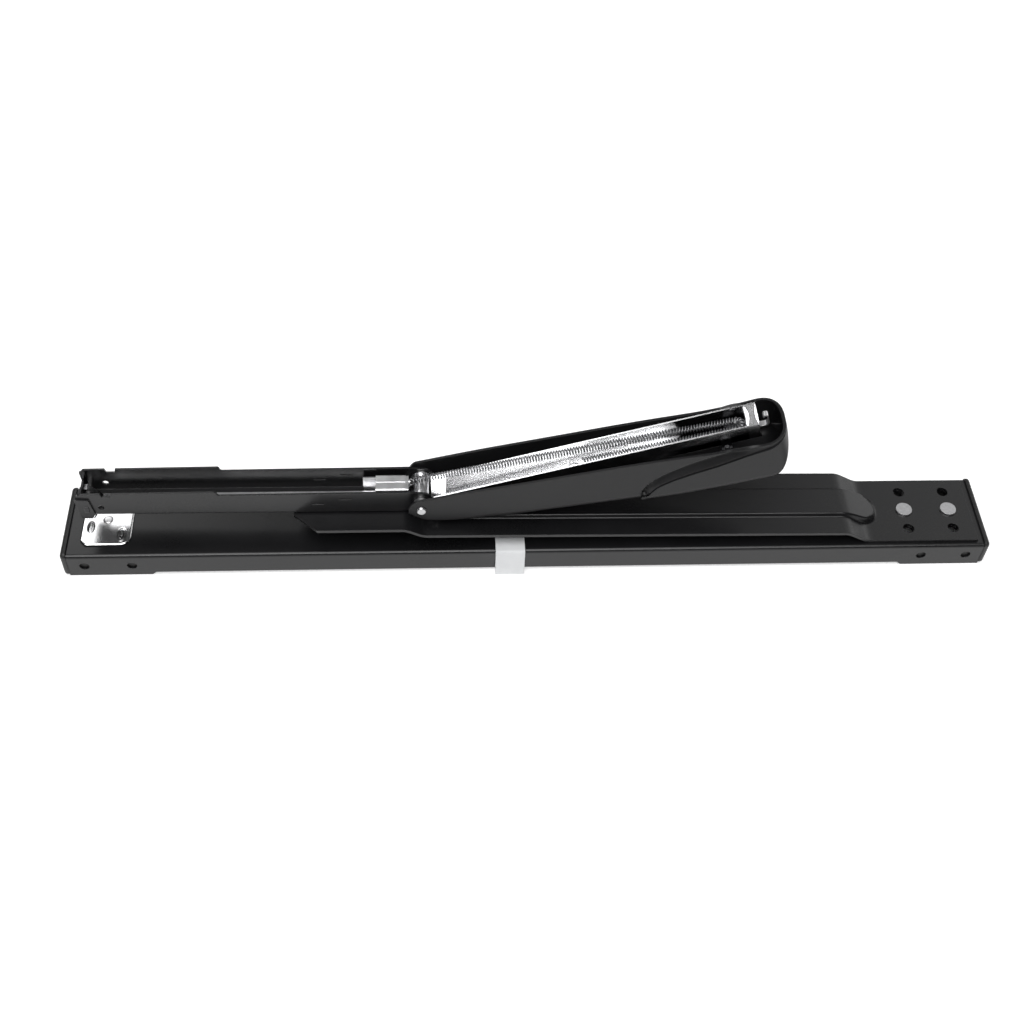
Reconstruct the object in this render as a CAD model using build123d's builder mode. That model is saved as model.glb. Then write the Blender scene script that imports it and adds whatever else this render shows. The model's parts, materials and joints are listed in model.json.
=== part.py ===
from build123d import *
from math import cos, radians, sin
import os

# Long reach stapler, millimetres.
# X runs along the length with the nose at -X, Y is the width, Z is up.
# The origin is the middle of the base's rest face. The handle is drawn flipped open.

# ---------------------------------------------------------------- driving sizes
# Base channel
BASE_LENGTH = 410.0
BASE_WIDTH = 40.0
BASE_HEIGHT = 13.0
BASE_SHEET = 1.2
BASE_BEND = 1.6            # outer radius of the two top bends
FOOT_LENGTH = 36.0         # stretch of side wall that reaches the table at each end
FOOT_RISE = 1.7            # the wall between the feet stops this far above the table
WALL_HOLE_D = 4.4
WALL_HOLE_Z = 6.5
WALL_HOLE_INSETS = (7.3, 28.0)   # from each end of the channel

# End caps
CAP_THICKNESS = 2.4
CAP_LIP = 1.0              # the cap stands this far above the channel
CAP_RAIL = 3.0             # thickness of the cap's two side rails
CAP_REACH = 33.0
CAP_SIDE_RADIUS = 1.6
PEG_INSET = 1.1            # the pegs end this far inside the wall's outer face

# Anvil
ANVIL_X = -188.6           # turning centre
ANVIL_LENGTH = 21.9
ANVIL_WIDTH = 28.0
ANVIL_SHEET = 1.0
CLINCH_X = -195.4          # where the staple's legs land
CLINCH_Y = 4.3             # half the distance between the legs' grooves
PIN_Y = 9.0                # the same for the grooves that bend the legs outwards
STUD_D = 3.0
STUD_HEAD_D = 4.4
STUD_FOOT_Z = 3.0
ANVIL_GROOVE = 0.45        # depth of the grooves

# Long arm
ARM_SHEET = 1.5
ARM_WIDTH = 35.4
ARM_REAR_X = 202.0
JOGGLE_REAR = (151.8, 142.5)     # foot and top of the rear joggle
JOGGLE_FRONT = (-48.0, -55.5)    # foot and top of the front joggle
ARM_RAISED_Z = (20.3, 22.2)      # top of the raised part, rear and front
TONGUE_Z = 26.4            # top of the tongue
TONGUE_SHOULDER_X = -95.0
TONGUE_TIP_X = -105.0
RIB_WIDTH = 15.6
RIB_HEIGHT = 1.4
REAR_RIVET_X = (171.4, 192.0)
REAR_RIVET_D = 7.6
REAR_RIVET_HOLE_D = 5.1
REAR_HOLE_Y = 10.7
REAR_HOLE_D = 5.0

# Magazine
MAG_WIDTH = 15.1
MAG_SHEET = 0.9
MAG_BOTTOM_Z = 26.5
MAG_FRONT_X = -196.0
MAG_LEAN = 1.3             # the nose leans forward by this much up to the walls' top
MAG_FRONT_RADIUS = 2.0
MAG_FLOOR_END_X = -194.8   # the staple leaves between this and the nose guide
MAG_STEP_X = -137.5
MAG_TOP_Z = (40.1, 40.8, 38.6, 39.4)   # nose, before the step, after it, at the hinge
MAG_STEP_RADIUS = 1.0
MAG_RIVET_X = (-92.0, -62.0)
MAG_RIVET_Y = 4.4
MAG_RIVET_HOLE_D = 2.1
EAR_RADIUS = 6.0
NOTCH_LINE = [(-187.0, 41.5), (-186.2, 38.2), (-182.6, 38.2), (-181.8, 41.5)]
NOSE_HOLE = (-187.5, 31.6)
NOSE_HOLE_D = 2.6
LANCE_PLACES = [(-94.3, 32.6), (-82.4, 35.6)]
LANCE_SIZE = (5.4, 1.2)
LANCE_DEPTH = 0.3          # the lanced bars are pressed this far into both faces
RAIL_WIDTH = 5.2
RAIL_HEIGHT = 2.2
NOSE_SHEET = 0.8
NOSE_TOP_Z = 37.7
NOSE_LEAN = 1.2
NOSE_NOTCH_Z = 32.5        # the lever's end passes over the nose through this notch
NOSE_NOTCH_HALF = (6.7, 7.2)
DIMPLE_PLACE = (-193.6, 31.5)
DIMPLE_SIZE = (2.2, 3.4)

# Hinge
HINGE_X = -49.4
HINGE_Z = 32.7
SLEEVE_D = 6.6
SLEEVE_BORE = 3.1
RIVET_D = 3.0
RIVET_HEAD_D = 4.3
RUNNING_FIT = 0.05         # radial clearance

# Handle, drawn along the lever from the hinge
OPEN_ANGLE = 18.5          # lever above the horizontal in the open pose
LEVER_WIDTH = 12.9
LEVER_SHEET = 0.7
LEVER_DEPTH = 7.8
LEVER_END = 149.2
LEVER_RAMP = ((3.0, -5.6), (9.0, -7.8))   # the floor rises to the hinge along this line
LEVER_CUT_S = 124.5        # the floor is cut away here, under the spring's far end
LEVER_CUT = (22.0, 8.4)
LEVER_HOLE = (13.8, -3.7)
LEVER_HOLE_D = 3.0
BRIDGE_S = (144.6, 149.0)  # bridge between the lever's edges, near its free end
BRIDGE_WAIST = 2.2
SHELL_WIDTH = 24.2
SHELL_WALL = 2.1
SHELL_END = 160.3
SCREW_S = 134.0
SCREW_Y = 9.0
CHEEK_RADIUS = 6.1
PAD_PROUD = 1.0
SPRING_OD = 3.6
SPRING_BORE = 2.6
SPRING_HEIGHT = -3.0       # spring's centre line at the post
POST_S = 139.4
POST_Y = -1.35
POST_D = 1.1

# Pusher
PUSHER_X = (-69.3, -56.0)
PUSHER_HALF = 4.6
PUSHER_TOP_Z = 37.8
PUSHER_BOTTOM_Z = 27.9
PUSHER_SHEET = 0.8
FINGER_REACH = 5.7
FINGER_Z = (28.4, 36.2)
HOOK_PLATE = (8.6, 4.2)
HOOK_Z = 35.4
HOOK_BUTTON_D = 1.8

# Driver
DRIVER_X = -195.45
DRIVER_SHEET = 0.9
DRIVER_WIDTH = 12.4
DRIVER_Z = (32.6, 39.6)
LEAF_Z = 36.6              # height of the return spring's tip, in the blade's window

# Paper stop
STOP_X = -10.3
STOP_WIDTH = 13.0
STOP_FLARE = 1.2           # the side legs lean out by this much at the table
STOP_SHEET = 1.5
STOP_GAP = 0.15

HALF_LENGTH = BASE_LENGTH / 2
HALF_WIDTH = BASE_WIDTH / 2
MAG_HALF = MAG_WIDTH / 2
MAG_INNER = MAG_HALF - MAG_SHEET
MAG_FLOOR_Z = MAG_BOTTOM_Z + MAG_SHEET
LEVER_HALF = LEVER_WIDTH / 2
LEVER_INNER = LEVER_HALF - LEVER_SHEET
SHELL_HALF = SHELL_WIDTH / 2
ARM_BOTTOM_Z = BASE_HEIGHT + 0.05

# Side view of the handle: X along the lever away from the hinge, Y away from its floor.
LEVER_SIDE = Plane(
    origin=(HINGE_X, 0, HINGE_Z),
    x_dir=(cos(radians(OPEN_ANGLE)), 0, sin(radians(OPEN_ANGLE))),
    z_dir=(0, -1, 0),
)
# Plan view of the handle, looking down on the open side of the lever.
LEVER_PLAN = Plane(
    origin=(HINGE_X, 0, HINGE_Z),
    x_dir=(cos(radians(OPEN_ANGLE)), 0, sin(radians(OPEN_ANGLE))),
    z_dir=(-sin(radians(OPEN_ANGLE)), 0, cos(radians(OPEN_ANGLE))),
)


def at_lever(along, height, y=0.0):
    """A point given by its distance along the lever, its height off the edge line and its Y."""
    turn = radians(OPEN_ANGLE)
    x = HINGE_X + along * cos(turn) - height * sin(turn)
    z = HINGE_Z + along * sin(turn) + height * cos(turn)
    return (x, y, z)


def outline(points):
    """A closed face through straight-sided points, added to the sketch in hand."""
    Polygon(*points, align=None)


def save(piece, name):
    piece.part.label = name
    export_step(piece.part, "parts/" + name + ".step")


def coil(radius, pitch, turns, wire, plane):
    """A plain helical wire about the plane's Z axis."""
    with BuildPart(mode=Mode.PRIVATE) as spring:
        with BuildLine(plane):
            path = Helix(pitch=pitch, height=pitch * turns, radius=radius)
        with BuildSketch(Plane(origin=path @ 0, z_dir=path % 0)):
            Circle(wire / 2)
        sweep(path=path, is_frenet=True)
    return spring.part


os.makedirs("parts", exist_ok=True)

# ---------------------------------------------------------------- base channel
with BuildPart() as base_channel:
    with BuildSketch(Plane.YZ.offset(-HALF_LENGTH)):
        with Locations((0, BASE_HEIGHT / 2)):
            Rectangle(BASE_WIDTH, BASE_HEIGHT)
    extrude(amount=BASE_LENGTH)
    fillet(base_channel.edges().filter_by(Axis.X).group_by(Axis.Z)[-1], BASE_BEND)
    with BuildSketch(Plane.YZ.offset(-HALF_LENGTH)) as channel_inside:
        with Locations((0, (BASE_HEIGHT - BASE_SHEET) / 2)):
            Rectangle(BASE_WIDTH - 2 * BASE_SHEET, BASE_HEIGHT - BASE_SHEET)
        fillet(channel_inside.vertices().group_by(Axis.Z)[-1], BASE_BEND - BASE_SHEET)
    extrude(amount=BASE_LENGTH, mode=Mode.SUBTRACT)
    # The walls rise clear of the table between the two feet.
    with BuildSketch(Plane.XZ):
        reach = HALF_LENGTH - FOOT_LENGTH
        outline([(-reach, 0), (-reach + 2, FOOT_RISE), (reach - 2, FOOT_RISE), (reach, 0)])
    extrude(amount=HALF_WIDTH + 1, both=True, mode=Mode.SUBTRACT)
    # Wall holes for the pegs of the end caps.
    with BuildSketch(Plane.XZ):
        for inset in WALL_HOLE_INSETS:
            with Locations((HALF_LENGTH - inset, WALL_HOLE_Z), (inset - HALF_LENGTH, WALL_HOLE_Z)):
                Circle(WALL_HOLE_D / 2)
    extrude(amount=HALF_WIDTH + 1, both=True, mode=Mode.SUBTRACT)
    # Holes for the rear rivets, the four fixing holes beside them and the anvil's stud.
    with BuildSketch(Plane.XY):
        with Locations(*[(x, 0) for x in REAR_RIVET_X]):
            Circle(REAR_RIVET_HOLE_D / 2)
        with Locations(*[(x, side * REAR_HOLE_Y) for x in REAR_RIVET_X for side in (-1, 1)]):
            Circle(REAR_HOLE_D / 2)
        with Locations((ANVIL_X, 0)):
            Circle(STUD_D / 2 + RUNNING_FIT)
    extrude(amount=BASE_HEIGHT + 1, mode=Mode.SUBTRACT)


# ---------------------------------------------------------------- end caps
def end_cap(side):
    """Plate over the channel's end (side is -1 or +1), two rails inside it and four pegs."""
    rail_y = HALF_WIDTH - BASE_SHEET - 0.1 - CAP_RAIL / 2
    rail_top = BASE_HEIGHT - BASE_SHEET - 0.15
    with BuildPart() as cap:
        with BuildSketch(Plane.YZ.offset(side * HALF_LENGTH)) as plate:
            with Locations((0, (BASE_HEIGHT + CAP_LIP) / 2)):
                Rectangle(BASE_WIDTH + 0.4, BASE_HEIGHT + CAP_LIP)
            chamfer(plate.vertices().group_by(Axis.Z)[0], 1.2)
            fillet(plate.vertices().group_by(Axis.Z)[-1], 1.8)
        extrude(amount=side * CAP_THICKNESS)
        outer_face = cap.faces().sort_by(Axis.X)[0 if side < 0 else -1]
        fillet(outer_face.edges().filter_by(Axis.Z), CAP_SIDE_RADIUS)
        with BuildSketch(Plane.XY.offset(0.4)):
            for rail_side in (-1, 1):
                with Locations((side * (HALF_LENGTH - CAP_REACH / 2), rail_side * rail_y)):
                    Rectangle(CAP_REACH, CAP_RAIL)
        extrude(amount=rail_top - 0.4)
        with BuildSketch(Plane.XZ):
            with Locations(*[(side * (HALF_LENGTH - inset), WALL_HOLE_Z) for inset in WALL_HOLE_INSETS]):
                Circle(WALL_HOLE_D / 2 - 0.1)
        extrude(amount=HALF_WIDTH - PEG_INSET, both=True)
        # Clear middle between the rails.
        with BuildSketch(Plane.XY):
            with Locations((side * (HALF_LENGTH - 50), 0)):
                Rectangle(100, 2 * rail_y - CAP_RAIL)
        extrude(amount=BASE_HEIGHT + 2, mode=Mode.SUBTRACT)
    return cap


front_end_cap = end_cap(-1)
rear_end_cap = end_cap(1)

# ---------------------------------------------------------------- long arm
arm_top = [
    (ARM_REAR_X, ARM_BOTTOM_Z + ARM_SHEET),
    (JOGGLE_REAR[0], ARM_BOTTOM_Z + ARM_SHEET),
    (JOGGLE_REAR[1], ARM_RAISED_Z[0]),
    (JOGGLE_FRONT[0], ARM_RAISED_Z[1]),
    (JOGGLE_FRONT[1], TONGUE_Z),
    (TONGUE_TIP_X, TONGUE_Z),
]
arm_bottom = [
    (TONGUE_TIP_X, TONGUE_Z - ARM_SHEET),
    (JOGGLE_FRONT[1] + 0.5, TONGUE_Z - ARM_SHEET),
    (JOGGLE_FRONT[0] + 0.5, ARM_RAISED_Z[1] - ARM_SHEET),
    (JOGGLE_REAR[1] - 0.5, ARM_RAISED_Z[0] - ARM_SHEET),
    (JOGGLE_REAR[0] - 0.7, ARM_BOTTOM_Z),
    (ARM_REAR_X, ARM_BOTTOM_Z),
]
rib_ends = (JOGGLE_FRONT[0] + 4, JOGGLE_REAR[1] + 9)
with BuildPart() as long_arm:
    with BuildSketch(Plane.XZ):
        outline(arm_top + arm_bottom)
    extrude(amount=ARM_WIDTH / 2, both=True)
    # Rib pressed up along the middle of the raised part.
    with BuildSketch(Plane.XZ):
        outline([
            (rib_ends[0], ARM_RAISED_Z[1] - 0.4),
            (rib_ends[0] + 4, ARM_RAISED_Z[1] + RIB_HEIGHT - 0.05),
            (JOGGLE_REAR[1] - 1, ARM_RAISED_Z[0] + RIB_HEIGHT),
            (rib_ends[1], ARM_BOTTOM_Z + ARM_SHEET + 1.2),
            (JOGGLE_REAR[1] + 2, ARM_RAISED_Z[0] - 2.2),
            (JOGGLE_REAR[1] - 2, ARM_RAISED_Z[0] - 0.5),
        ])
    extrude(amount=RIB_WIDTH / 2, both=True)
    # Pointed tongue.
    with BuildSketch(Plane.XY.offset(TONGUE_Z - ARM_SHEET - 1)):
        half = ARM_WIDTH / 2
        for side in (-1, 1):
            outline([
                (TONGUE_SHOULDER_X, side * half),
                (TONGUE_SHOULDER_X, side * (half + 1)),
                (TONGUE_TIP_X - 1, side * (half + 1)),
                (TONGUE_TIP_X - 1, side * 7.6),
                (TONGUE_TIP_X, side * 7.6),
            ])
    extrude(amount=5, mode=Mode.SUBTRACT)
    with BuildSketch(Plane.XY):
        with Locations(*[(x, 0) for x in REAR_RIVET_X]):
            Circle(REAR_RIVET_HOLE_D / 2)
        with Locations(*[(x, side * REAR_HOLE_Y) for x in REAR_RIVET_X for side in (-1, 1)]):
            Circle(REAR_HOLE_D / 2)
        with Locations(*[(x, side * MAG_RIVET_Y) for x in MAG_RIVET_X for side in (-1, 1)]):
            Circle(MAG_RIVET_HOLE_D / 2)
    extrude(amount=40, mode=Mode.SUBTRACT)

# ---------------------------------------------------------------- rear rivets
with BuildPart() as rear_rivets:
    for x in REAR_RIVET_X:
        with BuildSketch(Plane.XY.offset(ARM_BOTTOM_Z + ARM_SHEET + 0.03)):
            with Locations((x, 0)):
                Circle(REAR_RIVET_D / 2)
        extrude(amount=0.8, taper=12)
        with BuildSketch(Plane.XY.offset(BASE_HEIGHT - BASE_SHEET - 0.9)):
            with Locations((x, 0)):
                Circle(2.5)
        extrude(amount=BASE_SHEET + ARM_SHEET + 1.2)
        with BuildSketch(Plane.XY.offset(BASE_HEIGHT - BASE_SHEET - 0.95)):
            with Locations((x, 0)):
                Circle(4.0)
        extrude(amount=0.9)

# ---------------------------------------------------------------- anvil
with BuildPart() as anvil_plate:
    with BuildSketch(Plane.XY.offset(BASE_HEIGHT + 0.05)) as plan:
        with Locations((ANVIL_X, 0)):
            Rectangle(ANVIL_LENGTH, ANVIL_WIDTH)
        chamfer(plan.vertices().group_by(Axis.X)[0], 2.5)
        fillet(plan.vertices().group_by(Axis.X)[-1], 4.5)
    extrude(amount=ANVIL_SHEET)
    groove_top = Plane.XY.offset(BASE_HEIGHT + 0.05 + ANVIL_SHEET)
    # Grooves that close the staple's legs inwards, at the front of the plate.
    with BuildSketch(groove_top):
        with Locations((CLINCH_X, -CLINCH_Y), (CLINCH_X, CLINCH_Y)):
            SlotOverall(6.8, 1.8, rotation=90)
        # Grooves that bend the legs outwards for a pin that comes out again.
        with Locations((2 * ANVIL_X - CLINCH_X, -PIN_Y), (2 * ANVIL_X - CLINCH_X, PIN_Y)):
            SlotOverall(8.4, 1.8, rotation=90)
    extrude(amount=-ANVIL_GROOVE, mode=Mode.SUBTRACT)
    with BuildSketch(Plane.XY):
        with Locations((ANVIL_X, 0)):
            Circle(STUD_D / 2 + 0.02)
    extrude(amount=BASE_HEIGHT + 3, mode=Mode.SUBTRACT)

# Stud that the anvil turns on, its small head over the plate and its waist for the button.
stud_radius = STUD_D / 2
waist_radius = stud_radius - 0.5
head_foot = BASE_HEIGHT + ANVIL_SHEET + 0.1
button_top = STUD_FOOT_Z + 2.0
with BuildPart() as anvil_pivot:
    with BuildSketch(Plane.XZ):
        outline([
            (ANVIL_X, STUD_FOOT_Z),
            (ANVIL_X + waist_radius, STUD_FOOT_Z),
            (ANVIL_X + waist_radius, button_top + 0.4),
            (ANVIL_X + stud_radius, button_top + 0.4),
            (ANVIL_X + stud_radius, head_foot),
            (ANVIL_X + STUD_HEAD_D / 2, head_foot),
            (ANVIL_X + STUD_HEAD_D / 2 - 0.6, head_foot + 0.4),
            (ANVIL_X, head_foot + 0.45),
        ])
    revolve(axis=Axis((ANVIL_X, 0, 0), (0, 0, 1)))

with BuildPart() as anvil_spring:
    add(coil(2.9, 1.35, 4, 0.7, Plane(origin=(ANVIL_X, 0, button_top + 1.0))))

with BuildPart() as anvil_button:
    with BuildSketch(Plane.XZ):
        outline([
            (ANVIL_X + waist_radius + 0.05, STUD_FOOT_Z + 0.4),
            (ANVIL_X + 6.2, STUD_FOOT_Z + 0.4),
            (ANVIL_X + 7.0, STUD_FOOT_Z + 1.2),
            (ANVIL_X + 7.0, button_top),
            (ANVIL_X + waist_radius + 0.05, button_top),
        ])
    revolve(axis=Axis((ANVIL_X, 0, 0), (0, 0, 1)))

# ---------------------------------------------------------------- paper stop
with BuildPart() as paper_stop:
    inner_half = HALF_WIDTH + STOP_GAP
    outer_half = inner_half + STOP_SHEET
    top_in = BASE_HEIGHT + STOP_GAP
    hook_in = inner_half - 2.5
    hook_top = FOOT_RISE - STOP_GAP
    with BuildSketch(Plane.YZ.offset(STOP_X - STOP_WIDTH / 2)):
        outline([
            (-hook_in, STOP_GAP), (-outer_half - STOP_FLARE, STOP_GAP),
            (-outer_half, top_in + STOP_SHEET), (outer_half, top_in + STOP_SHEET),
            (outer_half + STOP_FLARE, STOP_GAP), (hook_in, STOP_GAP),
            (hook_in, hook_top), (inner_half, hook_top),
            (inner_half, top_in), (-inner_half, top_in),
            (-inner_half, hook_top), (-hook_in, hook_top),
        ])
    extrude(amount=STOP_WIDTH)
    top_bends = paper_stop.edges().filter_by(Axis.X).group_by(Axis.Z)[-1]
    fillet(top_bends, STOP_SHEET)

# ---------------------------------------------------------------- magazine
with BuildPart() as magazine_channel:
    with BuildSketch(Plane.XZ) as wall:
        outline([
            (MAG_FRONT_X, MAG_BOTTOM_Z),
            (HINGE_X, MAG_BOTTOM_Z),
            (HINGE_X, HINGE_Z + EAR_RADIUS),
            (HINGE_X - 5.0, MAG_TOP_Z[3]),
            (MAG_STEP_X + 0.6, MAG_TOP_Z[2]),
            (MAG_STEP_X, MAG_TOP_Z[1]),
            (MAG_FRONT_X - MAG_LEAN, MAG_TOP_Z[0]),
        ])
        fillet(wall.vertices().filter_by(lambda v: abs(v.X - MAG_STEP_X) < 1), MAG_STEP_RADIUS)
        fillet(wall.vertices().sort_by(Axis.X)[0], MAG_FRONT_RADIUS)
        with Locations((HINGE_X, HINGE_Z)):
            Circle(EAR_RADIUS)
    extrude(amount=MAG_HALF, both=True)
    bottom_edges = magazine_channel.edges().filter_by(Axis.X).group_by(Axis.Z)[0]
    fillet(bottom_edges, 1.2)
    # Inside of the channel, open at the top, at the front and behind the hinge.
    with BuildSketch(Plane.XZ):
        outline([
            (MAG_FRONT_X - 5, MAG_FLOOR_Z),
            (HINGE_X + 10, MAG_FLOOR_Z),
            (HINGE_X + 10, 60),
            (MAG_FRONT_X - 5, 60),
        ])
    extrude(amount=MAG_INNER, both=True, mode=Mode.SUBTRACT)
    # Staple exit and the open rear end of the floor.
    with BuildSketch(Plane.XY.offset(MAG_BOTTOM_Z - 2)):
        with Locations(((MAG_FLOOR_END_X - 205) / 2, 0)):
            Rectangle(MAG_FLOOR_END_X + 205, 2 * MAG_INNER)
        with Locations((HINGE_X + 8, 0)):
            Rectangle(18, 2 * MAG_INNER)
    extrude(amount=MAG_SHEET + 3, mode=Mode.SUBTRACT)
    # Hinge bore, notch and hole near the nose.
    with BuildSketch(Plane.XZ):
        with Locations((HINGE_X, HINGE_Z)):
            Circle(SLEEVE_D / 2 + RUNNING_FIT)
        outline(NOTCH_LINE)
        with Locations(NOSE_HOLE):
            Circle(NOSE_HOLE_D / 2)
    extrude(amount=MAG_HALF + 1, both=True, mode=Mode.SUBTRACT)
    # Two lanced bars in each wall, marked in its outer and inner faces.
    for face_y in (-MAG_HALF, -MAG_INNER - LANCE_DEPTH, MAG_INNER, MAG_HALF - LANCE_DEPTH):
        with BuildSketch(Plane.XZ.offset(-face_y)):
            with Locations(*LANCE_PLACES):
                Rectangle(*LANCE_SIZE)
        extrude(amount=-LANCE_DEPTH, mode=Mode.SUBTRACT)
    with BuildSketch(Plane.XY.offset(MAG_BOTTOM_Z - 1)):
        with Locations(*[(x, side * MAG_RIVET_Y) for x in MAG_RIVET_X for side in (-1, 1)]):
            Circle(MAG_RIVET_HOLE_D / 2)
    extrude(amount=4, mode=Mode.SUBTRACT)

with BuildPart() as magazine_rivets:
    rivet_places = [(x, side * MAG_RIVET_Y) for x in MAG_RIVET_X for side in (-1, 1)]
    rivet_foot = TONGUE_Z - ARM_SHEET - 0.65
    with BuildSketch(Plane.XY.offset(rivet_foot)):
        with Locations(*rivet_places):
            Circle(MAG_RIVET_HOLE_D / 2 - RUNNING_FIT)
    extrude(amount=MAG_FLOOR_Z + 0.35 - rivet_foot)
    with BuildSketch(Plane.XY.offset(rivet_foot)):
        with Locations(*rivet_places):
            Circle(1.8)
    extrude(amount=0.6)
    with BuildSketch(Plane.XY.offset(MAG_FLOOR_Z + 0.03)):
        with Locations(*rivet_places):
            Circle(1.5)
    extrude(amount=0.35)

with BuildPart() as staple_rail:
    rail_start = MAG_FLOOR_END_X + 0.4
    rail_end = HINGE_X - SLEEVE_D / 2 - 2.0
    with BuildSketch(Plane.YZ.offset(rail_start)) as rail_section:
        with Locations((0, MAG_FLOOR_Z + 0.04 + RAIL_HEIGHT / 2)):
            Rectangle(RAIL_WIDTH, RAIL_HEIGHT)
        fillet(rail_section.vertices().group_by(Axis.Z)[-1], 0.6)
    extrude(amount=rail_end - rail_start)

with BuildPart() as nose_guide:
    plate_back = MAG_FRONT_X - 0.05
    plate_front = plate_back - NOSE_SHEET
    cheek_in = MAG_HALF + 0.05
    cheek_out = cheek_in + NOSE_SHEET
    nose_bottom = MAG_BOTTOM_Z + 0.1
    # Front plate, leaning with the walls and cut low in the middle so that the lever can pass.
    with BuildSketch(Plane.XZ):
        outline([
            (plate_front, nose_bottom), (plate_back, nose_bottom),
            (plate_back - NOSE_LEAN, NOSE_TOP_Z), (plate_front - NOSE_LEAN, NOSE_TOP_Z),
        ])
    extrude(amount=cheek_out, both=True)
    with BuildSketch(Plane.YZ.offset(plate_front - 5)):
        outline([
            (-NOSE_NOTCH_HALF[0], NOSE_NOTCH_Z), (NOSE_NOTCH_HALF[0], NOSE_NOTCH_Z),
            (NOSE_NOTCH_HALF[1], NOSE_TOP_Z + 1), (-NOSE_NOTCH_HALF[1], NOSE_TOP_Z + 1),
        ])
    extrude(amount=10, mode=Mode.SUBTRACT)
    # Cheeks along both walls of the magazine, with a dimple in each.
    for side in (-1, 1):
        with BuildSketch(Plane.XZ.offset(-side * cheek_in)):
            outline([
                (plate_front - NOSE_LEAN, NOSE_TOP_Z), (-192.0, 37.1), (-190.5, 28.0), (-192.0, 25.4),
                (plate_back - 0.3, 25.4), (plate_front, nose_bottom),
            ])
        extrude(amount=-side * NOSE_SHEET)
        with BuildSketch(Plane.XZ.offset(-side * (cheek_out - 0.02))):
            with Locations(DIMPLE_PLACE):
                Rectangle(*DIMPLE_SIZE)
        extrude(amount=-side * 0.35, taper=20)

# ---------------------------------------------------------------- pusher
with BuildPart() as pusher:
    front, rear = PUSHER_X
    with BuildSketch(Plane.YZ.offset(front)) as section:
        with Locations((0, (PUSHER_BOTTOM_Z + PUSHER_TOP_Z) / 2)):
            Rectangle(2 * PUSHER_HALF, PUSHER_TOP_Z - PUSHER_BOTTOM_Z)
        fillet(section.vertices().group_by(Axis.Z)[-1], 1.0)
    extrude(amount=rear - front)
    with BuildSketch(Plane.YZ.offset(front - 1)):
        with Locations((0, (PUSHER_BOTTOM_Z + PUSHER_TOP_Z) / 2 - PUSHER_SHEET - 0.1)):
            Rectangle(2 * (PUSHER_HALF - PUSHER_SHEET), PUSHER_TOP_Z - PUSHER_BOTTOM_Z)
    extrude(amount=rear - front + 2, mode=Mode.SUBTRACT)
    # The sheet's two edges meet along the middle of the top.
    with BuildSketch(Plane.XY.offset(PUSHER_TOP_Z - 0.25)):
        with Locations(((front + rear) / 2, 0)):
            Rectangle(rear - front + 2, 0.5)
    extrude(amount=1, mode=Mode.SUBTRACT)
    # Fingers that reach forward on both sides of the rail.
    for side in (-1, 1):
        with BuildSketch(Plane.XZ.offset(-side * (PUSHER_HALF - PUSHER_SHEET))):
            outline([
                (front - FINGER_REACH, FINGER_Z[0]), (front + 0.5, FINGER_Z[0]),
                (front + 0.5, FINGER_Z[1]), (front - FINGER_REACH, FINGER_Z[1]),
            ])
        extrude(amount=-side * PUSHER_SHEET)

with BuildPart() as pusher_hook:
    hook_front = PUSHER_X[1] + 0.05
    with BuildSketch(Plane.YZ.offset(hook_front)) as bracket:
        with Locations((0, HOOK_Z)):
            Rectangle(*HOOK_PLATE)
        fillet(bracket.vertices(), 0.6)
    extrude(amount=1.0)
    with BuildSketch(Plane.YZ.offset(hook_front + 0.9)):
        with Locations((1.1, HOOK_Z + 1.2)):
            Circle(HOOK_BUTTON_D / 2)
    extrude(amount=0.9)

# ---------------------------------------------------------------- hinge
with BuildPart() as hinge_sleeve:
    with BuildSketch(Plane.XZ):
        with Locations((HINGE_X, HINGE_Z)):
            Circle(SLEEVE_D / 2)
            Circle(SLEEVE_BORE / 2, mode=Mode.SUBTRACT)
    extrude(amount=9.7, both=True)

with BuildPart() as hinge_rivet:
    with BuildSketch(Plane.XZ):
        with Locations((HINGE_X, HINGE_Z)):
            Circle(RIVET_D / 2)
    extrude(amount=SHELL_HALF + 0.1, both=True)
    for side in (-1, 1):
        with BuildSketch(Plane.XZ.offset(side * (SHELL_HALF + 0.05))):
            with Locations((HINGE_X, HINGE_Z)):
                Circle(RIVET_HEAD_D / 2)
        extrude(amount=side * 0.8, taper=25)

# ---------------------------------------------------------------- handle shell
RIM_LINE = [(0.0, 5.7), (24.0, 4.2), (92.0, -1.3), (128.0, -5.4), (138.0, -6.0), (170.0, -6.2)]
SHELL_PLAN = [(-10.0, 12.1), (10.0, 12.1), (95.0, 12.6), (124.0, 12.9), (146.0, 13.4), (170.0, 13.4)]
FLOOR_LINE = [(4.5, -9.2), (14.0, -12.4), (30.0, -16.8), (60.0, -21.0), (92.7, -25.0), (127.0, -27.4)]
CHEEK_END = 8.0
CHEEK_FOOT = -9.5
PAD_LINE = [(94.0, -24.5), (101.9, -18.0), (109.0, -15.9), (128.0, -13.0), (141.0, -9.8), (156.0, -7.4)]
BOSS_FOOT = -26.2          # the screws' bosses start inside the shell's floor


def rim(along):
    """Height of the shell's open edge, which sinks towards the floor away from the hinge."""
    for (start, low), (end, high) in zip(RIM_LINE, RIM_LINE[1:]):
        if along <= end:
            return low + (high - low) * (along - start) / (end - start)
    return RIM_LINE[-1][1]


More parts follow.
